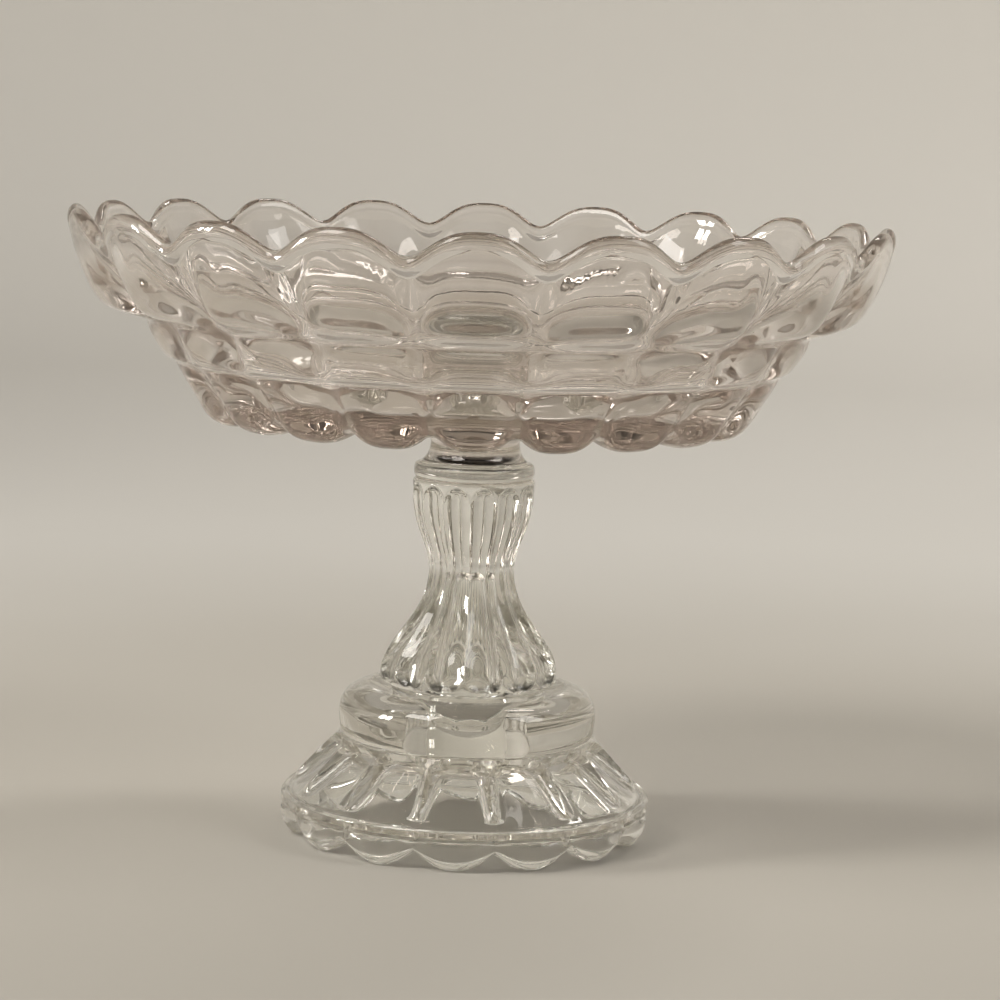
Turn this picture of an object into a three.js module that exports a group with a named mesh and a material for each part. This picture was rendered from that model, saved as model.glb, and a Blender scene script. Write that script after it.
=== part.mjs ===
// Footed glass centrepiece bowl, pressed in clear glass: a lobed bowl with a scalloped rim,
// a wafer, a fluted stem, a neck ring and a panelled foot, stacked on one axis and joined hot.
// Millimetres, +Z up, origin on the resting plane under the axis, -Y is the front.

import * as THREE from 'three';

// Counts of the pressed pattern
const BOWL_LOBES = 20;
const FOOT_PANELS = 14;
const STEPS_PER_LOBE = 6;
const STEPS_PER_FLUTE = 4;
const WAFER_SIDES = 40;

// How far each pressing stands turned about the axis, in degrees
const BOWL_TURN = -0.4;
const FOOT_TURN = -2.9;
const STEM_TURN = FOOT_TURN + 180 / FOOT_PANELS;

// Foot: fringe, edge band, skirt and dome, from the resting plane up
const REST_RADIUS = 57.5;
const REST_WIDTH = 3;
const FRINGE_HEIGHT = 8.75;
const FRINGE_SWELL = 1.7;
const FRINGE_NOTCH = 3.75;
const FRINGE_LOBE_DEPTH = 1;
const BAND_RADIUS = 59;
const BAND_HEIGHT = 3;
const BAND_GROOVE = 0.75;
const BAND_BEVEL = 1;
const SKIRT_RUN = 17;
const SKIRT_RISE = 18;
const PANEL_DEPTH = 4.5;
const PANEL_SHARE = 0.88;
const PANEL_ARCH_RISE = 4.5;
const CREASE_DEPTH = 1.7;
const DOME_RISE = 16;
const DOME_SWELL = 1.75;
const DOME_BELLY = 7;
const CROWN_WIDTH = 6;
const SEAT_SINK = 2.75;
const FOOT_WALL = 5.5;

// Hollow left by the press, a bell in the foot that runs up into the stem
const HOLLOW_REACH = 24;
const HOLLOW_PULL = 15;
const HOLLOW_RADIUS = 12.5;
const HOLLOW_TIP_RADIUS = 5.5;
const HOLLOW_DEPTH = 36.5;
const HOLLOW_TIP_LENGTH = 3.5;

// Neck ring between the foot and the stem
const NECK_RADIUS = 24.5;
const NECK_HEIGHT = 3.5;
const NECK_ROUND = 1;
const NECK_MARGIN = 0.5;

// Stem: flare, waist and shoulder
const STEM_HEIGHT = 66;
const STEM_BASE_RADIUS = 25.5;
const FLARE_RADIUS = 28.5;
const FLARE_LEVEL = 4;
const FLARE_PULL = 9;
const WAIST_RADIUS = 13.75;
const WAIST_LEVEL = 36.5;
const WAIST_PULL_DOWN = 15;
const WAIST_PULL_UP = 8.5;
const SHOULDER_RADIUS = 19.5;
const SHOULDER_DROP = 4.5;
const SHOULDER_PULL = 11.5;
const STEM_TOP_RADIUS = 17.75;
const STEM_TOP_ROUND = 1.25;
const FLUTE_SINK = 0.2;
const FLUTE_MARGIN = 2;
const FLUTE_END = 4;

// Wafer between the stem and the bowl
const WAFER_RADIUS = 19.25;
const WAFER_HEIGHT = 5.75;
const WAFER_ROUND = 1.25;

// Bowl: post, underside, heel, then low, middle and high tier with a ledge under each upper one
const POST_FOOT_RADIUS = 15.75;
const POST_PULL_RADIUS = 13.2;
const POST_PULL_UP = 3.25;
const POST_FLARE_RADIUS = 23.5;
const POST_HEIGHT = 15.25;
const BASE_RADIUS = 76.5;
const HEEL_RUN = 10.5;
const HEEL_DROP = 4.25;
const HEEL_REACH = 8;
const HEEL_RISE = 3;
const HEEL_LIFT = 5.5;
const LOW_FLARE = 10.5;
const LOW_HEIGHT = 13.75;
const LOW_LEDGE_REACH = 4.5;
const LOW_LEDGE_RISE = 4;
const MIDDLE_FLARE = 4.5;
const MIDDLE_HEIGHT = 9;
const HIGH_LEDGE_REACH = 12.5;
const HIGH_LEDGE_RISE = 5.75;
const HIGH_FLARE = 13.5;
const HIGH_HEIGHT = 27.25;
const HIGH_BULGE = 3.7;
const RIM_THICKNESS = 4.5;
const RIM_ROLL = 3.5;
const RIM_NOTCH = 7.5;
const RIM_NOTCH_INSET = 2.8;
const GROOVE_DEPTH = 2.3;
const GROOVE_SHARE = 0.12;
const HIGH_GROOVE_DEPTH = 9;
const INNER_SWELL_INSET = 1;
const INNER_SWELL_RISE = 8.25;
const BOWL_WALL = 7;
const FLOOR_THICKNESS = 7.5;
const FLOOR_FILLET = 8;

// Glass colours: the bowl has a faint mauve grey tint, the rest is nearly clear
const BOWL_GLASS = 0xb8aba4;
const CLEAR_GLASS = 0xd5d4cd;
const GLASS_ROUGHNESS = 0.06;
const GLASS_OPACITY = 0.5;

// Steps along curved stretches of a profile, and the steps up the skirt, closest under the arches
const FINE_STEPS = 5;
const COARSE_STEPS = 2;
const SKIRT_STEPS = [0.25, 0.5, 0.75, 0.88, 0.96];

// Cross-sections of a lobe, from 1 on its middle line to 0 at its edge
const RIM_WAVE_POWER = 1.6;
const FLAT_SHARE = 1 / 3;
const TRAY_POWER = 6;
const wave = (t) => Math.cos((Math.PI * t) / 2) ** RIM_WAVE_POWER;
const cushion = (t) => Math.sqrt(1 - t * t);
const scoop = (t) => 1 - t * t;
const tray = (t) => 1 - t ** TRAY_POWER;
const petal = (t) => wave(Math.max(0, (t - FLAT_SHARE) / (1 - FLAT_SHARE)));
const between = (first, second, share) => (t) => THREE.MathUtils.lerp(first(t), second(t), share);

const at = (radius, height) => new THREE.Vector2(radius, height);

// One row of a pressed profile: where it runs on a lobe's middle line, where it runs at the
// lobe's edge, how much of the lobe the raised or sunk part takes, and its cross-section.
function row(middle, edge = middle, share = 1, section = scoop) {
  return { middle, edge, share, section };
}

const plainRows = (points) => points.map((point) => row(point));

// A quarter bend from one point to another with the corner it rounds off.
function bend(start, corner, end, steps) {
  return new THREE.QuadraticBezierCurve(start, corner, end).getPoints(steps);
}

// A solid of revolution whose rows are drawn in or out around the axis, lobe by lobe.
function pressedBody(rows, lobes, steps) {
  const columns = lobes * steps;
  const geometry = new THREE.LatheGeometry(rows.map(({ middle }) => middle), columns);
  const position = geometry.getAttribute('position');
  const point = new THREE.Vector2();
  for (let column = 0; column <= columns; column += 1) {
    const lobe = (column % columns) / steps;
    const angle = (2 * Math.PI * lobe) / lobes;
    const across = 2 * Math.abs(lobe - Math.round(lobe));
    rows.forEach(({ middle, edge, share, section }, index) => {
      point.lerpVectors(edge, middle, section(Math.min(across / share, 1)));
      position.setXYZ(
        column * rows.length + index,
        point.x * Math.sin(angle),
        -point.x * Math.cos(angle),
        point.y,
      );
    });
  }
  geometry.computeVertexNormals();
  return geometry;
}

// How far a rounded end has opened at a distance from its tip, as on a quarter circle.
function openedEnd(distance, length) {
  const left = 1 - THREE.MathUtils.clamp(distance / length, 0, 1);
  return Math.sqrt(1 - left * left);
}

function footRows() {
  const bandLow = FRINGE_HEIGHT + BAND_GROOVE;
  const bandHigh = bandLow + BAND_HEIGHT;
  const skirtLow = at(BAND_RADIUS - BAND_BEVEL, bandHigh + BAND_BEVEL);
  const skirtHigh = at(skirtLow.x - SKIRT_RUN, skirtLow.y + SKIRT_RISE);
  const crease = at(skirtHigh.x - CREASE_DEPTH, skirtHigh.y);
  const belly = at(crease.x + DOME_SWELL, crease.y + DOME_BELLY);
  const seat = at(NECK_RADIUS + NECK_MARGIN, crease.y + DOME_RISE - SEAT_SINK);
  const crown = at(seat.x + CROWN_WIDTH, seat.y + SEAT_SINK);

  const restInner = REST_RADIUS - REST_WIDTH;
  const lobed = (radius, height, lift) =>
    row(at(radius, height), at(radius - FRINGE_LOBE_DEPTH, height + lift), 1, petal);
  const fringe = [
    lobed(restInner, 0, FRINGE_NOTCH),
    lobed(REST_RADIUS, 0, FRINGE_NOTCH),
    lobed(REST_RADIUS + FRINGE_SWELL / 2, FRINGE_NOTCH / 2, FRINGE_NOTCH / 2),
    lobed(REST_RADIUS + FRINGE_SWELL, FRINGE_HEIGHT - BAND_GROOVE, 0),
  ];
  const band = plainRows([
    at(BAND_RADIUS - BAND_GROOVE, FRINGE_HEIGHT),
    at(BAND_RADIUS, bandLow),
    at(BAND_RADIUS, bandHigh),
    skirtLow,
  ]);

  // Each panel slopes in from the band, so that it is sunk deepest under its arch, and the pillars
  // between the panels taper to nothing below.
  const across = skirtHigh.clone().sub(skirtLow).normalize();
  const inward = at(-across.y, across.x);
  const panels = SKIRT_STEPS.map((climbed, index) => {
    const ridge = skirtLow.clone().lerp(skirtHigh, climbed);
    const opened = openedEnd(skirtHigh.y - ridge.y, PANEL_ARCH_RISE);
    const sunk = ridge.clone().addScaledVector(inward, PANEL_DEPTH * climbed * opened);
    return row(sunk, ridge, index === 0 ? 1 : PANEL_SHARE * opened, tray);
  });

  const dome = [
    ...bend(crease, at(belly.x, crease.y), belly, COARSE_STEPS).slice(0, -1),
    ...bend(belly, at(belly.x, crown.y), crown, FINE_STEPS),
    seat,
  ];

  // The bell of the hollow starts along the panels, at the wall's thickness, and ends in the bore.
  const panelTop = skirtHigh.clone().addScaledVector(inward, PANEL_DEPTH);
  const along = panelTop.sub(skirtLow).normalize();
  const innerLow = skirtLow.clone().addScaledVector(inward, FOOT_WALL);
  const hollow = new THREE.CubicBezierCurve(
    at(HOLLOW_RADIUS, seat.y),
    at(HOLLOW_RADIUS, seat.y - HOLLOW_PULL),
    innerLow.clone().addScaledVector(along, HOLLOW_REACH),
    innerLow,
  ).getPoints(2 * FINE_STEPS);
  const rows = [
    ...fringe,
    ...band,
    ...panels,
    row(skirtHigh),
    ...plainRows(dome),
    ...plainRows(hollow),
  ];
  return { rows: [...rows, rows[0]], height: seat.y };
}

function neckRows() {
  const outer = NECK_RADIUS - NECK_ROUND;
  const points = [
    at(HOLLOW_RADIUS, 0),
    ...bend(at(outer, 0), at(NECK_RADIUS, 0), at(NECK_RADIUS, NECK_HEIGHT / 2), COARSE_STEPS),
    ...bend(
      at(NECK_RADIUS, NECK_HEIGHT / 2),
      at(NECK_RADIUS, NECK_HEIGHT),
      at(outer, NECK_HEIGHT),
      COARSE_STEPS,
    ).slice(1),
    at(HOLLOW_RADIUS, NECK_HEIGHT),
  ];
  return plainRows([...points, points[0]]);
}

function stemRows() {
  const flare = at(FLARE_RADIUS, FLARE_LEVEL);
  const waist = at(WAIST_RADIUS, WAIST_LEVEL);
  const shoulder = at(SHOULDER_RADIUS, STEM_HEIGHT - SHOULDER_DROP);
  const top = at(STEM_TOP_RADIUS, STEM_HEIGHT);
  const ridges = [
    ...bend(at(STEM_BASE_RADIUS, 0), at(FLARE_RADIUS, 0), flare, COARSE_STEPS),
    ...new THREE.CubicBezierCurve(
      flare,
      at(FLARE_RADIUS, FLARE_LEVEL + FLARE_PULL),
      at(WAIST_RADIUS, WAIST_LEVEL - WAIST_PULL_DOWN),
      waist,
    ).getPoints(FINE_STEPS).slice(1),
    ...new THREE.CubicBezierCurve(
      waist,
      at(WAIST_RADIUS, WAIST_LEVEL + WAIST_PULL_UP),
      at(SHOULDER_RADIUS, shoulder.y - SHOULDER_PULL),
      shoulder,
    ).getPoints(FINE_STEPS).slice(1),
    at(SHOULDER_RADIUS, STEM_HEIGHT - STEM_TOP_ROUND),
  ];

  // Flutes are scooped between the ridges, with a round end above the base and under the top.
  const fluted = ridges.map((ridge) => {
    const fromEnd = Math.min(ridge.y, STEM_HEIGHT - ridge.y) - FLUTE_MARGIN;
    const opened = openedEnd(fromEnd, FLUTE_END);
    const width = (2 * Math.PI * ridge.x) / FOOT_PANELS;
    const sunk = at(ridge.x - width * FLUTE_SINK * opened, ridge.y);
    return opened > 0 ? row(sunk, ridge, opened) : row(ridge);
  });

  const tip = at(0, HOLLOW_DEPTH);
  const tipFoot = at(HOLLOW_TIP_RADIUS, HOLLOW_DEPTH - HOLLOW_TIP_LENGTH);
  const hollow = plainRows([
    ...bend(tip, at(tipFoot.x, tip.y), tipFoot, COARSE_STEPS),
    at(HOLLOW_RADIUS, 0),
  ]);
  return [...hollow, ...fluted, row(top), row(at(0, STEM_HEIGHT))];
}

function waferRows() {
  const inner = WAFER_RADIUS - WAFER_ROUND;
  const middle = at(WAFER_RADIUS, WAFER_HEIGHT / 2);
  return plainRows([
    at(0, 0),
    ...bend(at(inner, 0), at(WAFER_RADIUS, 0), middle, COARSE_STEPS),
    ...bend(middle, at(WAFER_RADIUS, WAFER_HEIGHT), at(inner, WAFER_HEIGHT), COARSE_STEPS).slice(1),
    at(0, WAFER_HEIGHT),
  ]);
}

function bowlRows() {
  const blockShare = 1 - GROOVE_SHARE;
  const under = at(POST_FLARE_RADIUS, POST_HEIGHT);
  const heelInner = at(BASE_RADIUS - HEEL_RUN, under.y);
  const base = at(BASE_RADIUS, under.y - HEEL_DROP);
  const lowFoot = at(base.x + HEEL_REACH, base.y + HEEL_RISE);
  const lowTop = at(lowFoot.x + LOW_FLARE, lowFoot.y + LOW_HEIGHT);
  const middleFoot = at(lowTop.x + LOW_LEDGE_REACH, lowTop.y + LOW_LEDGE_RISE);
  const middleTop = at(middleFoot.x + MIDDLE_FLARE, middleFoot.y + MIDDLE_HEIGHT);
  const highFoot = at(middleTop.x + HIGH_LEDGE_REACH, middleTop.y + HIGH_LEDGE_RISE);
  const rimOuter = at(highFoot.x + HIGH_FLARE, highFoot.y + HIGH_HEIGHT);
  const rimTop = at(rimOuter.x - RIM_THICKNESS / 2, rimOuter.y + RIM_ROLL);
  const rimInner = at(rimOuter.x - RIM_THICKNESS, rimOuter.y);

  // The heel's lobes hang below the underside, and the grooves between them are cut up past it.
  const valley = base.y + HEEL_LIFT;
  const block = (point, groove) =>
    row(point, at(point.x - GROOVE_DEPTH, groove), blockShare, cushion);
  const heel = [
    ...bend(heelInner, at(heelInner.x, base.y), base, COARSE_STEPS).slice(1),
    ...bend(base, at(lowFoot.x, base.y), lowFoot, COARSE_STEPS).slice(1),
  ];

  // Blocks stand proud of the grooves that part the lobes.
  const lowBlocks = [
    ...heel.map((point) => block(point, valley)),
    ...[lowTop, middleFoot, middleTop].map((point) => block(point, point.y)),
  ];

  // The high tier swells out from its ledge and turns into the waves of the rim.
  const notched = (point) => at(point.x - RIM_NOTCH_INSET, point.y - RIM_NOTCH);
  const swell = at((highFoot.x + rimOuter.x) / 2 + HIGH_BULGE, (highFoot.y + rimOuter.y) / 2);
  const crest = bend(highFoot, swell, rimOuter, FINE_STEPS);
  const groove = new THREE.LineCurve(
    at(highFoot.x - HIGH_GROOVE_DEPTH, highFoot.y),
    notched(rimOuter),
  ).getPoints(FINE_STEPS);
  const highBlocks = crest.map((point, index) => {
    const share = index / FINE_STEPS;
    const spread = THREE.MathUtils.lerp(blockShare, 1, share);
    return row(point, groove[index], spread, between(cushion, wave, share));
  });

  // Inside, the wall follows the lobes of the high tier, then runs smooth down to a flat floor.
  const innerHigh = at(highFoot.x - HIGH_GROOVE_DEPTH - BOWL_WALL, highFoot.y);
  const innerSwell = at(rimInner.x - INNER_SWELL_INSET, highFoot.y + INNER_SWELL_RISE);
  const innerCrest = bend(rimInner, innerSwell, at(middleTop.x, highFoot.y), FINE_STEPS);
  const innerGroove = new THREE.LineCurve(notched(rimInner), innerHigh).getPoints(FINE_STEPS);
  const innerLobes = innerCrest.map((point, index) => row(point, innerGroove[index], 1, wave));
  const innerLow = at(lowTop.x - GROOVE_DEPTH - BOWL_WALL, lowTop.y);
  const floorLevel = under.y + FLOOR_THICKNESS;
  const slope = (innerHigh.x - innerLow.x) / (innerHigh.y - innerLow.y);
  const corner = at(innerLow.x - slope * (innerLow.y - floorLevel), floorLevel);
  const filletTop = at(corner.x + slope * FLOOR_FILLET, floorLevel + FLOOR_FILLET);
  const inside = [
    ...bend(filletTop, corner, at(corner.x - FLOOR_FILLET, floorLevel), COARSE_STEPS),
    at(0, floorLevel),
  ];
  const post = new THREE.CubicBezierCurve(
    at(POST_FOOT_RADIUS, 0),
    at(POST_PULL_RADIUS, POST_PULL_UP),
    at(POST_PULL_RADIUS, under.y),
    under,
  ).getPoints(FINE_STEPS);
  return [
    ...plainRows([at(0, 0), ...post, heelInner]),
    ...lowBlocks,
    ...highBlocks,
    row(rimTop, notched(rimTop), 1, wave),
    ...innerLobes,
    ...plainRows(inside),
  ];
}

// Each piece stands on the top face of the one below it.
const foot = footRows();
const neckLevel = foot.height;
const stemLevel = neckLevel + NECK_HEIGHT;
const waferLevel = stemLevel + STEM_HEIGHT;
const bowlLevel = waferLevel + WAFER_HEIGHT;

function piece(name, geometry, color, level, turn) {
  const material = new THREE.MeshStandardMaterial({
    color,
    roughness: GLASS_ROUGHNESS,
    metalness: 0,
    transparent: true,
    opacity: GLASS_OPACITY,
  });
  const mesh = new THREE.Mesh(geometry, material);
  mesh.name = name;
  mesh.position.z = level;
  mesh.rotation.z = THREE.MathUtils.degToRad(turn);
  return mesh;
}

const footBody = pressedBody(foot.rows, FOOT_PANELS, STEPS_PER_LOBE);
const neckBody = pressedBody(neckRows(), 1, WAFER_SIDES);
const stemBody = pressedBody(stemRows(), FOOT_PANELS, STEPS_PER_FLUTE);
const waferBody = pressedBody(waferRows(), 1, WAFER_SIDES);
const bowlBody = pressedBody(bowlRows(), BOWL_LOBES, STEPS_PER_LOBE);

const centrepiece = new THREE.Group();
centrepiece.name = 'centrepiece_bowl';
centrepiece.add(
  piece('foot', footBody, CLEAR_GLASS, 0, FOOT_TURN),
  piece('neck_ring', neckBody, CLEAR_GLASS, neckLevel, FOOT_TURN),
  piece('stem', stemBody, CLEAR_GLASS, stemLevel, STEM_TURN),
  piece('bowl_wafer', waferBody, CLEAR_GLASS, waferLevel, STEM_TURN),
  piece('bowl', bowlBody, BOWL_GLASS, bowlLevel, BOWL_TURN),
);

export default centrepiece;
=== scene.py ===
"""Dressed model of a footed centrepiece bowl in pressed glass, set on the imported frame.

Sizes are millimetres unless a name or a docstring says otherwise, and angles are degrees.
The front of the object is -Y and the axis of all its pieces is +Z.
"""

import logging
import math
from dataclasses import dataclass, field
from enum import Enum
from typing import Any, Iterable, Sequence

import bpy
import numpy as np
from mathutils import Matrix, Vector


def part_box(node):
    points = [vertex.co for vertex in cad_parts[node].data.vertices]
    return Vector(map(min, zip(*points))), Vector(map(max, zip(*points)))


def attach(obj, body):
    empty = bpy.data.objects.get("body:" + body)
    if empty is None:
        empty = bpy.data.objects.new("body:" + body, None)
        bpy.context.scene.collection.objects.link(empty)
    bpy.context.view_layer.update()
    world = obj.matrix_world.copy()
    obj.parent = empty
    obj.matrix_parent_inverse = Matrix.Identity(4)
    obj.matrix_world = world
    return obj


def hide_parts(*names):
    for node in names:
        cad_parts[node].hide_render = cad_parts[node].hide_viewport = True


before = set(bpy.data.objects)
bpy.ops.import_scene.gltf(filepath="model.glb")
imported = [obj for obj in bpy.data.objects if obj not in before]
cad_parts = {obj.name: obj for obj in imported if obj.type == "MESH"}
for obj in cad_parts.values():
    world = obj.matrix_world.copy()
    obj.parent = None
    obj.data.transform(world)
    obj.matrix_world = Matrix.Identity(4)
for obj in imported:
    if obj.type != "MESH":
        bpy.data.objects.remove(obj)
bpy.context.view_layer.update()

LOG = logging.getLogger("centrepiece_bowl")
MM = 0.001
BODY = "root"
# Light turns inside thick pressed glass many times before it comes out.
GLASS_BOUNCES = 24
# Folds of a mesh that are sharper than this, in degrees, stay crisp.
SHARP_FOLD = 50.0
# Most of a side that the bend at one of its ends takes up
BEND_REACH = 0.45
# Share of a repeat that a flute or a panel has left where it closes
CLOSED_SHARE = 0.02
# The stem's flutes stand half a repeat on from the foot's petals.
FOOT_REPEATS = 14
FOOT_TURN = -2.9

Point = tuple[float, float]
Colour = tuple[float, float, float, float]


def linear(code: str) -> Colour:
    """Turns an sRGB hex code into a linear colour.

    Args:
        code: Six hex digits, such as "c8c2b4".

    Returns:
        Linear red, green and blue with an alpha of 1.
    """
    parts = [int(code[start:start + 2], 16) / 255 for start in (0, 2, 4)]
    red, green, blue = (
        part / 12.92 if part <= 0.04045 else ((part + 0.055) / 1.055) ** 2.4 for part in parts
    )
    return red, green, blue, 1.0


def add_node(tree: bpy.types.NodeTree, kind: str, inputs: dict[str, Any] | None = None,
             **settings: Any) -> bpy.types.Node:
    """Adds a node, with its settings and with its inputs filled or linked.

    Args:
        tree: The node tree that takes the node.
        kind: Blender's name for the node's type.
        inputs: Value or output socket for each named input.
        **settings: Properties of the node itself.

    Returns:
        The new node.
    """
    made = tree.nodes.new(kind)
    for key, value in settings.items():
        setattr(made, key, value)
    for key, value in (inputs or {}).items():
        if isinstance(value, bpy.types.NodeSocket):
            tree.links.new(value, made.inputs[key])
        else:
            made.inputs[key].default_value = value
    return made


def empty_material(name: str) -> bpy.types.Material:
    """Adds a material that has no nodes yet.

    Args:
        name: Name of the material.

    Returns:
        The new material.
    """
    made = bpy.data.materials.new(name)
    made.use_nodes = True
    made.node_tree.nodes.clear()
    return made


def smooth_object(name: str, points: Sequence[Sequence[float]],
                  faces: Sequence[tuple[int, ...]]) -> bpy.types.Object:
    """Adds a mesh to the scene, smooth but for its sharp folds.

    Args:
        name: Name of the mesh and of its object.
        points: Corners of the mesh in metres.
        faces: Numbers of the corners of each face.

    Returns:
        The new object.
    """
    mesh = bpy.data.meshes.new(name)
    mesh.from_pydata(points, [], faces)
    mesh.polygons.foreach_set("use_smooth", [True] * len(faces))
    mesh.set_sharp_from_angle(angle=math.radians(SHARP_FOLD))
    mesh.update()
    made = bpy.data.objects.new(name, mesh)
    bpy.context.scene.collection.objects.link(made)
    return made


def ring_faces(low: np.ndarray, high: np.ndarray, columns: int) -> list[tuple[int, ...]]:
    """Joins two rings of corners, one of which may be a pole, by a band of faces.

    Args:
        low: Numbers of the first ring's corners, or of the pole alone.
        high: Numbers of the second ring's corners, or of the pole alone.
        columns: Corners in a whole ring.

    Returns:
        The corners of each face, which looks outward where the rings run upward.
    """
    around = np.arange(columns)
    corners = [
        low[around % len(low)], low[(around + 1) % len(low)],
        high[(around + 1) % len(high)], high[around % len(high)],
    ]
    if len(low) == 1:
        corners.pop(1)
    if len(high) == 1:
        corners.pop(2)
    return [tuple(int(index) for index in face) for face in zip(*corners)]


@dataclass(frozen=True)
class Section:
    """Cross-section of a lobe, (1 - t ** power) ** root, from its middle line to its edge."""

    power: float
    root: float

    def height(self, across: np.ndarray) -> np.ndarray:
        """Gives 1 on the middle line and 0 at the edge."""
        return (1 - across ** self.power) ** self.root

    def towards(self, other: "Section", share: float) -> "Section":
        """Blends the section with another one.

        Args:
            other: The section to move towards.
            share: How much of the way to go.

        Returns:
            The section that far along.
        """
        return Section(
            self.power + (other.power - self.power) * share,
            self.root + (other.root - self.root) * share,
        )


class Cut(Enum):
    """Named cross-sections of the pressed pattern."""

    SCOOP = Section(2.0, 1.0)
    WAVE = Section(2.7, 2.0)
    CUSHION = Section(3.0, 1.2)
    PETAL = Section(2.2, 1.15)
    TRAY = Section(9.0, 1.0)


@dataclass(frozen=True)
class Row:
    """One ring of a pressed form, drawn in or out lobe by lobe."""

    middle: Point
    edge: Point
    share: float = 1.0
    section: Section = Cut.SCOOP.value

    def ring(self, across: np.ndarray) -> tuple[np.ndarray, np.ndarray]:
        """Works the ring out column by column.

        Args:
            across: How far each column stands from the middle of its repeat, 1 at the edge.

        Returns:
            Radius and height for each column.
        """
        weight = self.section.height(np.minimum(across / self.share, 1))
        radius, height = (
            low + (high - low) * weight for low, high in zip(self.edge, self.middle)
        )
        return radius, height

    def lifted(self, rise: float) -> "Row":
        """Gives the same ring at a higher level."""
        middle, edge = ((radius, height + rise) for radius, height in (self.middle, self.edge))
        return Row(middle, edge, self.share, self.section)


def plain(points: Iterable[Point]) -> list[Row]:
    """Turns profile points into round rows."""
    return [Row(point, point) for point in points]


def uneven(points: Iterable[Point], wobble: float) -> list[Row]:
    """Turns profile points into rows that are not quite round, as an edge worked hot is."""
    return [Row(point, (point[0] - wobble, point[1]), 1.0, Cut.WAVE.value) for point in points]


def bezier(points: Sequence[Point], steps: int) -> list[Point]:
    """Samples a curve from its control points.

    Args:
        points: The control points, with the curve's two ends.
        steps: Steps along the curve.

    Returns:
        The points of the curve, both ends included.
    """
    share = np.linspace(0, 1, steps + 1)[:, None]
    degree = len(points) - 1
    curve = sum(
        math.comb(degree, index) * (1 - share) ** (degree - index) * share ** index * np.array(point)
        for index, point in enumerate(points)
    )
    return [(float(radius), float(height)) for radius, height in curve]


def between(first: Point, second: Point, share: float) -> Point:
    """Gives the point at a share of the way from one point to another."""
    return tuple(low + (high - low) * share for low, high in zip(first, second))


def softened(corners: Sequence[Point], cut: float, steps: int) -> list[Point]:
    """Rounds the inner corners of a chain of points.

    Args:
        corners: The chain, whose ends are kept.
        cut: How far from a corner its bend starts, at most.
        steps: Steps along each bend.

    Returns:
        The chain with each corner turned into a bend.
    """
    made = [corners[0]]
    for before, corner, after in zip(corners, corners[1:], corners[2:]):
        start, end = (
            between(corner, other, min(BEND_REACH, cut / math.dist(corner, other)))
            for other in (before, after)
        )
        made += bezier([start, corner, end], steps)
    return made + [corners[-1]]


def rail(points: Sequence[Point], steps: int) -> list[Point]:
    """Draws a smooth line along a chain of points, from its first one to its last one.

    Args:
        points: The chain. The line turns off short of each inner point, as a bent lath does.
        steps: Steps along the turn at each inner point.

    Returns:
        The points of the line.
    """
    halves = [between(first, second, 0.5) for first, second in zip(points[1:], points[2:-1])]
    ends = [points[0], *halves, points[-1]]
    made = [points[0]]
    for start, corner, end in zip(ends, points[1:-1], ends[1:]):
        made += bezier([start, corner, end], steps)[1:]
    return made


def refined(points: Sequence[Point], spacing: float) -> list[Point]:
    """Adds points along a chain.

    Args:
        points: The chain.
        spacing: The longest step that is left.

    Returns:
        The chain with the added points.
    """
    made = [points[0]]
    for first, second in zip(points, points[1:]):
        count = max(1, math.ceil(math.dist(first, second) / spacing))
        made += [between(first, second, (index + 1) / count) for index in range(count)]
    return made


def opened(distance: float, length: float) -> float:
    """Tells how far a rounded end has opened at a distance from its tip, as on a quarter circle."""
    left = 1 - min(max(distance / length, 0), 1)
    return math.sqrt(1 - left * left)


def pressed_object(name: str, rows: Sequence[Row], lobes: int, steps: int, turn: float,
                   level: float, crowding: float) -> bpy.types.Object:
    """Makes a closed mesh from rows that run up the outside and down the inside.

    Args:
        name: Name of the object.
        rows: Rings from the first to the last. A ring of no radius is a pole, and rows with no
            pole at either end close on themselves.
        lobes: Repeats of the pattern round the axis.
        steps: Columns for each repeat.
        turn: Turn about the axis in degrees.
        level: Height of the rows' zero above the resting plane.
        crowding: How much closer the columns stand at the edges of the repeats, 1 for evenly.

    Returns:
        The smooth object, in metres and in its place.
    """
    columns = lobes * steps
    even = np.arange(columns) / steps
    across = 1 - (1 - 2 * np.abs(even - np.round(even))) ** crowding
    lobe = np.round(even) + np.sign(even - np.round(even)) * across / 2
    angle = 2 * np.pi * lobe / lobes + math.radians(turn)
    points: list[np.ndarray] = []
    rings: list[np.ndarray] = []
    count = 0
    for row in rows:
        radius, height = row.ring(across)
        if row.middle[0] == 0:
            radius, height, turned = radius[:1], height[:1], angle[:1]
        else:
            turned = angle
        points.append(np.stack(
            [radius * np.sin(turned), -radius * np.cos(turned), height + level], axis=1
        ))
        rings.append(count + np.arange(len(radius)))
        count += len(radius)
    pairs = list(zip(rings, rings[1:]))
    if len(rings[0]) > 1 and len(rings[-1]) > 1:
        pairs.append((rings[-1], rings[0]))
    faces: list[tuple[int, ...]] = []
    for low, high in pairs:
        faces += ring_faces(low, high, columns)
    return smooth_object(name, (np.concatenate(points) * MM).tolist(), faces)


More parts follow.
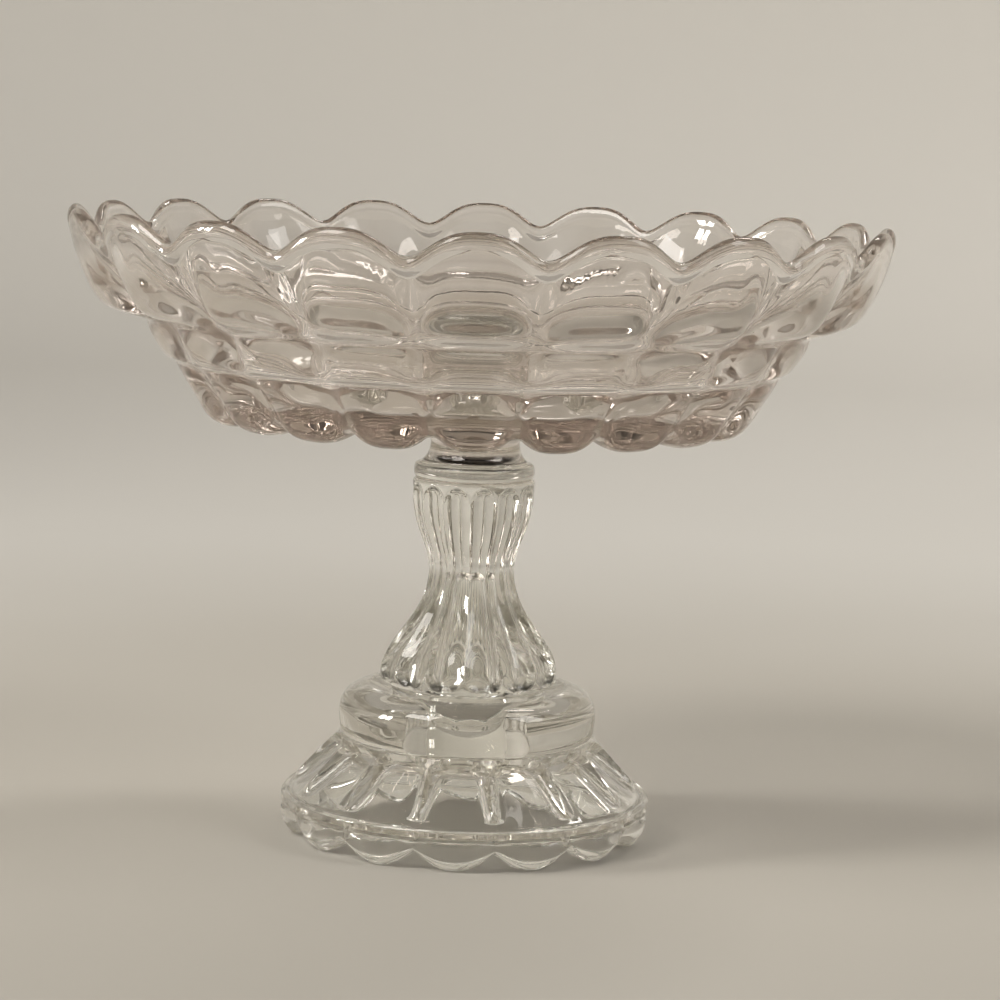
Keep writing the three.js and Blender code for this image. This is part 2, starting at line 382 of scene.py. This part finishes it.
@dataclass(frozen=True)
class PressedGlass:
    """Soda glass from an iron mould, fire polished: clear, with slow ripples and a fine skin."""

    name: str
    thin: str
    streak: str
    depth: str
    density_per_m: float
    ior: float = 1.52
    ripple: float = 11.0
    ripple_height: float = 0.05
    ripple_detail: float = 1.0
    ripple_roughness: float = 0.4
    streak_width: float = 17.0
    streak_length: float = 70.0
    streak_detail: float = 3.0
    streak_start: float = 0.35
    streak_end: float = 0.6
    # The skin of the mould is finer than a pixel, so it is drawn this coarse to show.
    skin: float = 1.6
    skin_height: float = 0.002
    skin_detail: float = 2.0
    smooth: float = 0.004
    dull: float = 0.03
    dull_start: float = 0.3
    dull_end: float = 0.8
    wear_reach: float = 0.0
    wear_roughness: float = 0.35

    def build(self) -> bpy.types.Material:
        """Makes the material with its nodes.

        Returns:
            The new material.
        """
        made = empty_material(self.name)
        tree = made.node_tree
        place = add_node(tree, "ShaderNodeTexCoord").outputs["Object"]

        # Slow ripples left by the gather bend what shows through the wall.
        ripple = add_node(tree, "ShaderNodeTexNoise", {
            "Vector": place, "Scale": 1 / (self.ripple * MM), "Detail": self.ripple_detail,
            "Roughness": self.ripple_roughness,
        })
        skin = add_node(tree, "ShaderNodeTexNoise", {
            "Vector": place, "Scale": 1 / (self.skin * MM), "Detail": self.skin_detail,
        })
        slow = add_node(tree, "ShaderNodeBump", {
            "Strength": 1.0, "Distance": self.ripple_height * MM, "Height": ripple.outputs["Fac"],
        })
        fine = add_node(tree, "ShaderNodeBump", {
            "Strength": 1.0, "Distance": self.skin_height * MM, "Height": skin.outputs["Fac"],
            "Normal": slow.outputs["Normal"],
        })

        # Streaks of a slightly other melt run up through the glass.
        across, along = (1 / (size * MM) for size in (self.streak_width, self.streak_length))
        stretch = add_node(
            tree, "ShaderNodeMapping", {"Vector": place, "Scale": (across, across, along)}
        )
        streaks = add_node(tree, "ShaderNodeTexNoise", {
            "Vector": stretch.outputs["Vector"], "Scale": 1.0, "Detail": self.streak_detail,
        })
        tint = add_node(tree, "ShaderNodeValToRGB", {"Fac": streaks.outputs["Fac"]})
        tint.color_ramp.elements[0].position = self.streak_start
        tint.color_ramp.elements[0].color = linear(self.streak)
        tint.color_ramp.elements[1].position = self.streak_end
        tint.color_ramp.elements[1].color = linear(self.thin)

        # The polish is a little duller in patches, and ground where the glass rubs on a table.
        polish = add_node(tree, "ShaderNodeMapRange", {
            "Value": skin.outputs["Fac"], "From Min": self.dull_start, "From Max": self.dull_end,
            "To Min": self.smooth, "To Max": self.dull,
        })
        roughness = polish.outputs["Result"]
        if self.wear_reach:
            height = add_node(tree, "ShaderNodeSeparateXYZ", {"Vector": place}).outputs["Z"]
            worn = add_node(tree, "ShaderNodeMapRange", {
                "Value": height, "From Min": 0.0, "From Max": self.wear_reach * MM,
                "To Min": self.wear_roughness, "To Max": self.smooth,
            })
            roughness = add_node(tree, "ShaderNodeMath", {
                0: worn.outputs["Result"], 1: roughness,
            }, operation="MAXIMUM").outputs["Value"]

        shader = add_node(tree, "ShaderNodeBsdfPrincipled", {
            "Base Color": tint.outputs["Color"], "Roughness": roughness, "IOR": self.ior,
            "Transmission Weight": 1.0, "Normal": fine.outputs["Normal"],
        })
        inside = add_node(tree, "ShaderNodeVolumeAbsorption", {
            "Color": linear(self.depth), "Density": self.density_per_m,
        })
        add_node(tree, "ShaderNodeOutputMaterial", {
            "Surface": shader.outputs["BSDF"], "Volume": inside.outputs["Volume"],
        })
        return made


class Finish(Enum):
    """Finishes of the object, each named for its glass and how it was made."""

    # Manganese in the melt turns mauve with age, which shows most in the thick parts.
    BOWL = PressedGlass(
        "mauve_soda_glass_pressed_fire_polished", "fcf9f7", "f5f1ed", "d5c9be", 13.5,
    )
    # The same glass pressed thinner and clearer, with no tint that shows.
    CLEAR = PressedGlass(
        "clear_soda_glass_pressed_fire_polished", "fdfdfb", "f8f8f5", "e9e6df", 10.0,
    )
    # The clear glass with its fringe tips ground dull by the table that it stands on.
    FOOT = PressedGlass(
        "clear_soda_glass_pressed_table_worn", "fdfdfb", "f8f8f5", "e9e6df", 10.0, wear_reach=1.2,
    )


@dataclass
class Pressing:
    """A piece of the object that stands for one CAD node."""

    node: str
    slot: str
    finish: Finish
    lobes: int
    steps: int
    turn: float
    crowding: float = 1.0
    lap: float = 0.15
    bend_steps: int = 8
    level: float = field(init=False)
    height: float = field(init=False)
    reach: float = field(init=False)

    def __post_init__(self) -> None:
        """Takes the piece's level, height and reach from its CAD node."""
        low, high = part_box(self.node)
        self.level = low.z / MM
        self.height = (high.z - low.z) / MM
        self.reach = math.hypot(*self._farthest()) / MM

    def _farthest(self) -> tuple[float, float]:
        """Finds the node's corner farthest from the axis.

        Returns:
            The corner's place in plan, in metres.
        """
        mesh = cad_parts[self.node].data
        return max(
            ((vertex.co.x, vertex.co.y) for vertex in mesh.vertices), key=lambda spot: math.hypot(*spot)
        )

    def rows(self) -> list[Row]:
        """Gives the rows of the pressed form, with heights above the piece's level."""
        raise NotImplementedError

    def build(self, materials: dict[Finish, bpy.types.Material]) -> bpy.types.Object:
        """Makes the piece, dresses it and sets it on the frame.

        Args:
            materials: The made material of each finish.

        Returns:
            The finished piece.
        """
        made = pressed_object(
            f"{self.node}_glass", self.rows(), self.lobes, self.steps, self.turn, self.level,
            self.crowding,
        )
        made.data.materials.append(materials[self.finish])
        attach(made, BODY)
        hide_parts(self.node)
        LOG.info("%s: %d faces, %.1f mm high", made.name, len(made.data.polygons), self.height)
        return made


@dataclass
class Bowl(Pressing):
    """Lobed bowl: post, underside, heel, three tiers of cushions, scalloped rim, smooth inside."""

    node: str = "bowl"
    slot: str = "tinted_glass"
    finish: Finish = Finish.BOWL
    lobes: int = 20
    steps: int = 20
    turn: float = -0.4
    # Concave side of the post, from the wafer up to the underside
    post: tuple[Point, ...] = (
        (16.6, 0.0), (14.4, 2.0), (12.8, 5.0), (13.2, 15.25), (23.5, 15.25),
    )
    # Heel, low cushion, ledge, middle cushion, ledge and high lobe, up a lobe's middle line, with
    # heights above the underside
    crest: tuple[Point, ...] = (
        (66.0, 0.0), (69.0, -4.3), (84.8, -4.5), (90.5, 5.5), (95.0, 12.5),
        (95.3, 15.7), (99.2, 16.5), (103.2, 22.0), (104.4, 25.5), (104.8, 28.3),
        (116.5, 31.25), (122.0, 35.0), (127.2, 46.0), (129.2, 53.5), (130.0, 58.5),
    )
    # The same levels up the groove between two lobes
    groove: tuple[Point, ...] = (
        (66.0, 0.0), (70.5, -0.5), (83.0, -0.4), (88.0, 6.5), (92.9, 12.5),
        (95.0, 15.3), (97.2, 16.7), (99.8, 21.7), (101.9, 25.5), (104.0, 28.4),
        (107.8, 31.1), (112.6, 36.1), (119.3, 42.9), (124.4, 48.0), (127.2, 51.0),
    )
    cushion_corners: int = 9
    groove_share: float = 0.13
    rim_thickness: float = 4.5
    rim_roll: float = 3.5
    rim_notch: Point = (2.8, 7.5)
    lip_depth: float = 5.5
    # Inner wall from the lip to the floor, behind a lobe's middle line
    inner_crest: tuple[Point, ...] = (
        (125.5, 56.5), (125.2, 53.5), (123.0, 46.5), (118.3, 39.5), (108.5, 34.3),
        (99.5, 29.5), (93.0, 21.5), (86.0, 11.0), (66.0, 7.5),
    )
    # The same levels behind the groove between two lobes
    inner_groove: tuple[Point, ...] = (
        (122.7, 49.0), (121.0, 47.4), (116.3, 43.2), (111.0, 38.2), (105.0, 33.1),
        (99.0, 27.9), (93.0, 21.5), (86.0, 11.0), (66.0, 7.5),
    )
    post_steps: int = 20
    lip_steps: int = 24
    underside_step: float = 6.0
    floor_step: float = 8.0

    def rows(self) -> list[Row]:
        """Runs from the post outward, up the tiers, over the rim and down to the floor.

        Returns:
            The rows of the bowl.
        """
        post = [(0.0, -self.lap), (self.post[0][0], -self.lap)] + bezier(self.post, self.post_steps)
        reach, rise = self.post[-1]
        underside = plain(refined([(reach, 0.0), self.crest[0]], self.underside_step)[1:-1])
        vessel = underside + self._tier_rows() + self._rim_rows() + self._inside_rows()
        return plain(post) + [row.lifted(rise) for row in vessel]

    def _tier_rows(self) -> list[Row]:
        """Draws the cushions, whose sections turn into the waves of the rim on the high tier.

        Returns:
            The rows of the bowl's outside, with heights above its underside.
        """
        crest, groove = (rail(line, self.bend_steps) for line in (self.crest, self.groove))
        start = self.cushion_corners * self.bend_steps
        rows = []
        for index, (middle, edge) in enumerate(zip(crest, groove)):
            share = max(0, index - start) / (len(crest) - 1 - start)
            section = Cut.CUSHION.value.towards(Cut.WAVE.value, share)
            rows.append(Row(middle, edge, 1 - self.groove_share * (1 - share), section))
        return rows

    def _rim_rows(self) -> list[Row]:
        """Draws the round lip, which rises and falls with the lobes and is longer on its inside.

        Returns:
            The rows of the lip, with heights above the bowl's underside.
        """
        outer, level = self.crest[-1]
        half = self.rim_thickness / 2
        rows = []
        for turn in np.linspace(0, math.pi, self.lip_steps)[1:]:
            fall = self.rim_roll if turn < math.pi / 2 else self.lip_depth
            point = (
                outer - half + half * math.cos(turn),
                level + self.rim_roll - fall * (1 - math.sin(turn)),
            )
            rows.append(Row(point, self._notched(point), 1.0, Cut.WAVE.value))
        return rows

    def _notched(self, point: Point) -> Point:
        """Gives where a rim point runs between two lobes."""
        return point[0] - self.rim_notch[0], point[1] - self.rim_notch[1]

    def _inside_rows(self) -> list[Row]:
        """Draws the inner wall, whose rim waves fade out, and the flat floor.

        Returns:
            The rows of the bowl's inside, with heights above its underside.
        """
        crest, groove = (
            rail(line, self.bend_steps)[1:] for line in (self.inner_crest, self.inner_groove)
        )
        wall = [
            Row(middle, edge, 1.0, Cut.WAVE.value) for middle, edge in zip(crest, groove)
        ]
        flat = refined([crest[-1], (0.0, crest[-1][1])], self.floor_step)[1:]
        return wall + plain(flat)


@dataclass
class Wafer(Pressing):
    """Flattened gather of glass that joins the bowl to the stem."""

    node: str = "bowl_wafer"
    slot: str = "clear_glass"
    finish: Finish = Finish.CLEAR
    lobes: int = 3
    steps: int = 40
    turn: float = 12.0
    lower_round: float = 1.25
    edge_level: float = 2.6
    edge_top: float = 4.9
    edge_round: float = 1.3
    flare_pull: Point = (-0.9, 0.0)
    post_radius: float = 16.6
    seat_margin: float = 0.8
    wobble: float = 0.12

    def rows(self) -> list[Row]:
        """Runs from the lower face round the edge and up the flare that meets the post.

        Returns:
            The rows of the wafer.
        """
        inner, crown = self.reach - self.lower_round, self.reach - self.edge_round
        edge, top = (self.reach, self.edge_level), (crown, self.edge_top)
        line = bezier([(inner, 0.0), (self.reach, 0.0), edge], self.bend_steps)
        line += bezier([edge, (self.reach, self.edge_top), top], self.bend_steps)[1:]
        pull = (top[0] + self.flare_pull[0], top[1] + self.flare_pull[1])
        line += bezier([top, pull, (self.post_radius, self.height)], self.bend_steps)[1:]
        lower = [(0.0, -self.lap), (inner - self.seat_margin, -self.lap)]
        upper = [
            (self.post_radius - self.seat_margin, self.height + self.lap),
            (0.0, self.height + self.lap),
        ]
        return plain(lower) + uneven(line, self.wobble) + plain(upper)


@dataclass
class Stem(Pressing):
    """Fluted stem with a flare, a waist and a shoulder, hollow from below."""

    node: str = "stem"
    slot: str = "clear_glass"
    finish: Finish = Finish.CLEAR
    lobes: int = FOOT_REPEATS
    steps: int = 18
    turn: float = FOOT_TURN + 180 / FOOT_REPEATS
    base_radius: float = 25.5
    flare: Point = (28.5, 4.0)
    flare_pull: float = 9.0
    waist: Point = (13.75, 36.5)
    waist_pull_down: float = 15.0
    waist_pull_up: float = 8.5
    shoulder_radius: float = 19.5
    shoulder_drop: float = 4.5
    shoulder_pull: float = 11.5
    top_radius: float = 17.75
    top_round: float = 1.25
    # Depth of a flute as a share of its width
    flute_sink: float = 0.2
    flute_margin: float = 1.6
    flute_end: float = 5.0
    hollow_radius: float = 12.5
    hollow_tip: Point = (5.5, 33.0)
    hollow_depth: float = 36.5
    hollow_step: float = 3.0
    base_margin: float = 1.5
    top_margin: float = 0.6
    lower_steps: int = 36
    upper_steps: int = 30
    top_steps: int = 5
    shoulder_step: float = 0.7

    def rows(self) -> list[Row]:
        """Runs from the hollow's tip down, out under the flare and up the flutes to the top.

        Returns:
            The rows of the stem.
        """
        shoulder = (self.shoulder_radius, self.height - self.shoulder_drop)
        flare, waist = self.flare, self.waist
        ridge = bezier([(self.base_radius, 0.0), (flare[0], 0.0), flare], self.bend_steps)
        ridge += bezier([
            flare, (flare[0], flare[1] + self.flare_pull),
            (waist[0], waist[1] - self.waist_pull_down), waist,
        ], self.lower_steps)[1:]
        ridge += bezier([
            waist, (waist[0], waist[1] + self.waist_pull_up),
            (shoulder[0], shoulder[1] - self.shoulder_pull), shoulder,
        ], self.upper_steps)[1:]
        top_edge = (shoulder[0], self.height - self.top_round)
        ridge += refined([shoulder, top_edge], self.shoulder_step)[1:]
        tip = bezier([
            (0.0, self.hollow_depth), (self.hollow_tip[0], self.hollow_depth), self.hollow_tip
        ], self.bend_steps)
        hollow = tip + refined(
            [self.hollow_tip, (self.hollow_radius, -self.lap)], self.hollow_step
        )[1:]
        under = [(self.base_radius - self.base_margin, -self.lap)]
        top = bezier([
            top_edge, (shoulder[0], self.height), (self.top_radius, self.height),
        ], self.top_steps)[1:]
        seam = self.height + self.lap
        crown = [(self.top_radius - self.top_margin, seam), (0.0, seam)]
        fluted = [self._fluted(point) for point in ridge]
        return plain(hollow + under) + fluted + plain(top + crown)

    def _fluted(self, ridge: Point) -> Row:
        """Scoops the flutes between the ridges, with a round end at the base and at the top.

        Args:
            ridge: A point of the line that the ridges follow.

        Returns:
            The row at that point.
        """
        from_end = min(ridge[1], self.height - ridge[1]) - self.flute_margin
        width = 2 * math.pi * ridge[0] / self.lobes
        open_share = opened(from_end, self.flute_end)
        sunk = (ridge[0] - width * self.flute_sink * open_share, ridge[1])
        return Row(sunk, ridge, max(open_share, CLOSED_SHARE), Cut.SCOOP.value)


@dataclass
class NeckRing(Pressing):
    """Ring of glass in the neck between the foot and the stem."""

    node: str = "neck_ring"
    slot: str = "clear_glass"
    finish: Finish = Finish.CLEAR
    lobes: int = 3
    steps: int = 40
    turn: float = 40.0
    bore_radius: float = 12.7
    edge_round: float = 1.0
    seat_margin: float = 2.0
    wobble: float = 0.1

    def rows(self) -> list[Row]:
        """Runs from the bore's lower edge round the bead and back down the bore.

        Returns:
            The rows of the ring.
        """
        inner = self.reach - self.edge_round
        middle = self.height / 2
        seat, seam = inner - self.seat_margin, self.height + self.lap
        bead = bezier([(inner, 0.0), (self.reach, 0.0), (self.reach, middle)], self.bend_steps)
        bead += bezier([
            (self.reach, middle), (self.reach, self.height), (inner, self.height),
        ], self.bend_steps)[1:]
        faces = [(self.bore_radius, -self.lap), (seat, -self.lap)]
        tops = [(seat, seam), (self.bore_radius, seam)]
        return plain(faces) + uneven(bead, self.wobble) + plain(tops)


@dataclass
class Foot(Pressing):
    """Domed foot: scalloped fringe, edge band, skirt with arched panels, dome, hollow below."""

    node: str = "foot"
    slot: str = "clear_glass"
    finish: Finish = Finish.FOOT
    lobes: int = FOOT_REPEATS
    steps: int = 36
    turn: float = FOOT_TURN
    crowding: float = 1.5
    rest_radius: float = 55.5
    rest_width: float = 2.5
    rest_margin: float = 1.0
    fringe_height: float = 8.75
    fringe_swell: float = 3.7
    fringe_belly: float = 0.35
    fringe_steps: int = 10
    fringe_notch: float = 5.0
    fringe_lobe_depth: float = 1.7
    band_radius: float = 59.0
    band_height: float = 3.0
    band_groove: float = 0.75
    band_bevel: float = 1.0
    band_bend: float = 0.5
    band_step: float = 0.7
    # How far the skirt runs inward and how far it rises
    skirt: Point = (17.0, 18.0)
    panel_depth: float = 4.5
    panel_foot_depth: float = 1.3
    panel_share: float = 0.95
    panel_arch: float = 3.4
    # Under its arch a panel gets deep this much sooner than it gets wide.
    panel_arch_depth: float = 1.6
    panel_step: float = 0.4
    pillar_foot: float = 2.5
    pillar_end: float = 4.0
    crease_depth: float = 1.7
    crease_bend: float = 0.9
    crease_rise: float = 1.2
    crease_steps: int = 4
    dome_swell: float = 1.75
    dome_belly: float = 7.0
    dome_pull: float = 2.0
    dome_low_steps: int = 6
    dome_steps: int = 18
    crown_width: float = 6.0
    seat_sink: float = 2.75
    seat_radius: float = 25.0
    seat_bend: float = 0.6
    seat_width: float = 2.0
    edge_steps: int = 3
    wall: float = 5.5
    bore_radius: float = 12.5
    hollow_ceiling: float = 28.0
    hollow_reach: float = 25.0
    hollow_bend: float = 8.0
    hollow_step: float = 1.5

    def rows(self) -> list[Row]:
        """Runs from the rest up the fringe, skirt and dome, then down the hollow.

        Returns:
            The rows of the foot.
        """
        band_low = self.fringe_height + self.band_groove
        band_high = band_low + self.band_height
        skirt_low = (self.band_radius - self.band_bevel, band_high + self.band_bevel)
        skirt_high = (skirt_low[0] - self.skirt[0], skirt_low[1] + self.skirt[1])
        crease = (skirt_high[0] - self.crease_depth, skirt_high[1])
        belly = (crease[0] + self.dome_swell, crease[1] + self.dome_belly)
        seat = (self.seat_radius, self.height - self.seat_sink)
        crown = (seat[0] + self.crown_width, self.height)
        band = plain(refined(softened([
            (self.band_radius - self.band_groove, self.fringe_height),
            (self.band_radius, band_low), (self.band_radius, band_high), skirt_low,
        ], self.band_bend, self.edge_steps), self.band_step))
        dome = softened(
            [skirt_high, crease, (belly[0], crease[1] + self.crease_rise)],
            self.crease_bend, self.crease_steps,
        )[1:-1]
        pull = (belly[0], crease[1] + self.dome_pull)
        dome += bezier([dome[-1], pull, belly], self.dome_low_steps)[1:]
        dome += bezier([belly, (belly[0], crown[1]), crown], self.dome_steps)[1:]
        dome += softened(
            [crown, seat, (seat[0] - self.seat_width, seat[1])], self.seat_bend, self.edge_steps
        )[1:]
        length = math.hypot(*self.skirt)
        inward = (-self.skirt[1] / length, -self.skirt[0] / length)
        run, rise = (
            top + turned * self.panel_depth - low
            for top, turned, low in zip(skirt_high, inward, skirt_low)
        )
        along = (run / math.hypot(run, rise), rise / math.hypot(run, rise))
        inner_low = tuple(low + turned * self.wall for low, turned in zip(skirt_low, inward))
        hollow = refined(softened([
            (self.bore_radius, seat[1]),
            (self.bore_radius, self.hollow_ceiling),
            tuple(low + step * self.hollow_reach for low, step in zip(inner_low, along)),
            inner_low,
        ], self.hollow_bend, self.bend_steps), self.hollow_step)
        rows = self._fringe_rows() + band + self._skirt_rows(skirt_low, skirt_high, inward)
        return rows + plain(dome + hollow)

    def _fringe_rows(self) -> list[Row]:
        """Draws the petals of the fringe, which stand on their tips and meet in notches.

        Returns:
            The rows of the fringe, from its inner edge up the outside.
        """
        inner = self.rest_radius - self.rest_width
        top = self.fringe_height - self.band_groove
        outside = bezier([
            (self.rest_radius, 0.0), (self.rest_radius + self.fringe_swell, top * self.fringe_belly),
            (self.rest_radius + self.fringe_swell, top),
        ], self.fringe_steps)
        rows = []
        for point in [(inner, 0.0), (self.rest_radius - self.rest_margin, 0.0)] + outside:
            lift = self.fringe_notch * (1 - point[1] / top)
            edge = (point[0] - self.fringe_lobe_depth, point[1] + lift)
            rows.append(Row(point, edge, 1.0, Cut.PETAL.value))
        return rows

    def _skirt_rows(self, low: Point, high: Point, inward: Point) -> list[Row]:
        """Draws the sloping skirt with a panel sunk under an arch in each repeat.

        Args:
            low: Outer edge of the skirt, above the band.
            high: Inner edge of the skirt, at the crease under the dome.
            inward: Direction into the glass, square to the slope.

        Returns:
            The rows of the skirt without its outer edge.
        """
        rows = []
        for ridge in refined([low, high], self.panel_step)[1:]:
            climbed = (ridge[1] - low[1]) / (high[1] - low[1])
            arch = opened(high[1] - ridge[1], self.panel_arch)
            pillar = opened(ridge[1] - low[1] - self.pillar_foot, self.pillar_end)
            foot_depth = self.panel_foot_depth * opened(ridge[1] - low[1], self.panel_foot_depth)
            depth = foot_depth + (self.panel_depth - foot_depth) * climbed
            depth *= min(1.0, arch * self.panel_arch_depth)
            sunk = (ridge[0] + inward[0] * depth, ridge[1] + inward[1] * depth)
            share = (1 - (1 - self.panel_share) * pillar) * arch
            edge = between(sunk, ridge, pillar)
            rows.append(Row(sunk, edge, max(share, CLOSED_SHARE), Cut.TRAY.value))
        return rows


@dataclass(frozen=True)
class Softbox:
    """A rectangular soft light aimed at a point, with sizes in metres and its spread in degrees."""

    name: str
    place: tuple[float, float, float]
    size: tuple[float, float]
    watts: float
    colour: str
    aim: tuple[float, float, float] = (0.0, 0.0, 0.12)
    spread: float = 180.0

    def build(self) -> None:
        """Adds the light to the scene."""
        light = bpy.data.lights.new(self.name, "AREA")
        light.shape = "RECTANGLE"
        light.size, light.size_y = self.size
        light.energy = self.watts
        light.spread = math.radians(self.spread)
        light.color = linear(self.colour)[:3]
        made = bpy.data.objects.new(self.name, light)
        made.location = self.place
        towards = Vector(self.aim) - Vector(self.place)
        made.rotation_euler = towards.to_track_quat("-Z", "Y").to_euler()
        made.visible_camera = False
        bpy.context.scene.collection.objects.link(made)


@dataclass
class Studio:
    """Pale floor, painted darker round the object as shade, that runs up into a round cove, soft lights
    and a dim room above, in metres.
    """

    floor_drop: float = 0.0003
    floor_start: float = 0.15
    floor_step: float = 0.25
    floor_radius: float = 1.7
    cove_radius: float = 0.45
    cove_height: float = 0.8
    cove_steps: int = 14
    columns: int = 96
    # Darker tone of the floor round the object: painted shade, not the paper's own colour
    painted_shade_floor_colour: str = "c1bcb2"
    wall_colour: str = "dcd9d2"
    paper_roughness: float = 0.9
    cloud_size: float = 1 / 3
    cloud_detail: float = 2.0
    cloud: float = 0.12
    # Distances from the axis between which the painted shade round the object fades and the floor takes
    # on the colour of the wall
    painted_shade_end: float = 0.3
    wall_tone_start: float = 0.8
    room_colour: str = "8a857d"
    room_strength: float = 0.05
    wall_strength: float = 1.5
    # How far back a direction has to point for the light side to start and to be full
    wall_start: float = 0.15
    wall_full: float = 0.5
    lights: tuple[Softbox, ...] = (
        Softbox("key_left", (-1.3, -1.0, 1.9), (1.0, 1.0), 27, "fffbf6"),
        Softbox("fill_right", (1.5, -0.6, 1.5), (0.7, 1.1), 10, "fbfaf8"),
        Softbox("wall_wash", (0.95, 1.0, 2.0), (1.0, 0.5), 22, "fffbf7", (0.8, 2.1, 0.25)),
        Softbox("window_near", (-1.66, -0.42, 0.62), (0.15, 0.42), 1.2, "fffdf8", spread=70),
        Softbox("window_far", (-1.7, -0.2, 0.62), (0.15, 0.42), 1.2, "fffdf8", spread=70),
    )

    def build(self) -> None:
        """Adds the floor, the lights and the world."""
        self._floor()
        self._world()
        for light in self.lights:
            light.build()

    def _floor(self) -> None:
        """Adds the floor and its cove as one round sheet."""
        wall = self.floor_radius + self.cove_radius
        flat = [(self.floor_start, 0.0), (self.floor_radius, 0.0)]
        bend = [flat[-1], (wall, 0.0), (wall, self.cove_radius)]
        profile = refined(flat, self.floor_step) + bezier(bend, self.cove_steps)[1:]
        profile += [(wall, self.cove_height)]
        angle = np.linspace(0, 2 * math.pi, self.columns, endpoint=False)
        points = [(0.0, 0.0, -self.floor_drop)]
        rings = [np.arange(1)]
        for radius, height in profile:
            rings.append(len(points) + np.arange(self.columns))
            points += [
                (radius * math.sin(turn), -radius * math.cos(turn), height - self.floor_drop)
                for turn in angle
            ]
        faces: list[tuple[int, ...]] = []
        for inner, outer in zip(rings, rings[1:]):
            faces += ring_faces(outer, inner, self.columns)
        made = smooth_object("studio_floor", points, faces)
        made.data.materials.append(self._floor_material())

    def _floor_material(self) -> bpy.types.Material:
        """Makes the matt paper of the floor, with a faint cloud in its tone and painted shade that
        darkens it round the object.

        Returns:
            The new material.
        """
        made = empty_material("matt_backdrop_paper")
        tree = made.node_tree
        place = add_node(tree, "ShaderNodeTexCoord").outputs["Object"]
        cloud = add_node(tree, "ShaderNodeTexNoise", {
            "Vector": place, "Scale": 1 / self.cloud_size, "Detail": self.cloud_detail,
        })
        away = add_node(tree, "ShaderNodeVectorMath", {0: place}, operation="LENGTH").outputs["Value"]
        drift = add_node(tree, "ShaderNodeMath", {
            0: cloud.outputs["Fac"], 1: self.cloud, 2: away,
        }, operation="MULTIPLY_ADD").outputs["Value"]
        # Painted shade: the floor is darker near the axis and pales to the wall's tone farther out.
        far = add_node(tree, "ShaderNodeMapRange", {
            "Value": drift, "From Min": self.painted_shade_end, "From Max": self.wall_tone_start,
        }, interpolation_type="SMOOTHSTEP")
        tone = add_node(tree, "ShaderNodeMix", {
            "Factor": far.outputs["Result"],
            "A": linear(self.painted_shade_floor_colour), "B": linear(self.wall_colour),
        }, data_type="RGBA")
        shader = add_node(tree, "ShaderNodeBsdfPrincipled", {
            "Base Color": tone.outputs["Result"], "Roughness": self.paper_roughness,
        })
        add_node(tree, "ShaderNodeOutputMaterial", {"Surface": shader.outputs["BSDF"]})
        return made

    def _world(self) -> None:
        """Sets the dim room above the cove, which is lighter on the side that the camera faces."""
        world = bpy.data.worlds.new("dim_room")
        world.use_nodes = True
        tree = world.node_tree
        ways = add_node(tree, "ShaderNodeTexCoord").outputs["Generated"]
        back = add_node(tree, "ShaderNodeSeparateXYZ", {"Vector": ways}).outputs["Y"]
        glow = add_node(tree, "ShaderNodeMapRange", {
            "Value": back, "From Min": self.wall_start, "From Max": self.wall_full,
            "To Min": self.room_strength, "To Max": self.wall_strength,
        }, interpolation_type="SMOOTHSTEP")
        sky = tree.nodes["Background"]
        sky.inputs["Color"].default_value = linear(self.room_colour)
        tree.links.new(glow.outputs["Result"], sky.inputs["Strength"])
        bpy.context.scene.world = world


@dataclass(frozen=True)
class PhotoCamera:
    """Camera that stands where the photograph was taken, for a square frame."""

    place: tuple[float, float, float] = (0.0, -979.0, 231.9)
    pitch: float = 7.25
    yaw: float = 0.49
    roll: float = 1.8
    focal_pixels: float = 3103.0
    frame_pixels: float = 1000.0
    sensor: float = 36.0

    def build(self) -> None:
        """Adds the camera and makes it the scene's."""
        pitch, yaw, roll = (math.radians(turn) for turn in (self.pitch, self.yaw, self.roll))
        ahead = Vector((
            math.sin(yaw) * math.cos(pitch), math.cos(yaw) * math.cos(pitch), -math.sin(pitch)
        ))
        level_right = Vector((math.cos(yaw), -math.sin(yaw), 0.0))
        level_up = level_right.cross(ahead)
        right = level_right * math.cos(roll) + level_up * math.sin(roll)
        up = level_up * math.cos(roll) - level_right * math.sin(roll)
        data = bpy.data.cameras.new("photo_camera")
        data.sensor_width = self.sensor
        data.lens = self.sensor * self.focal_pixels / self.frame_pixels
        made = bpy.data.objects.new("photo_camera", data)
        turned = Matrix((right, up, -ahead)).transposed()
        made.matrix_world = Matrix.Translation(Vector(self.place) * MM) @ turned.to_4x4()
        bpy.context.scene.collection.objects.link(made)
        bpy.context.scene.camera = made


def main() -> None:
    """Builds the camera, the studio and each piece of the object."""
    logging.basicConfig(level=logging.INFO, format="%(name)s: %(message)s")
    scene = bpy.context.scene
    scene.view_settings.view_transform = "Standard"
    scene.cycles.max_bounces = scene.cycles.transmission_bounces = GLASS_BOUNCES
    scene.cycles.glossy_bounces = GLASS_BOUNCES
    PhotoCamera().build()
    Studio().build()
    materials = {finish: finish.value.build() for finish in Finish}
    for piece in (Foot(), NeckRing(), Stem(), Wafer(), Bowl()):
        piece.build(materials)


if __name__ == "__main__":
    main()
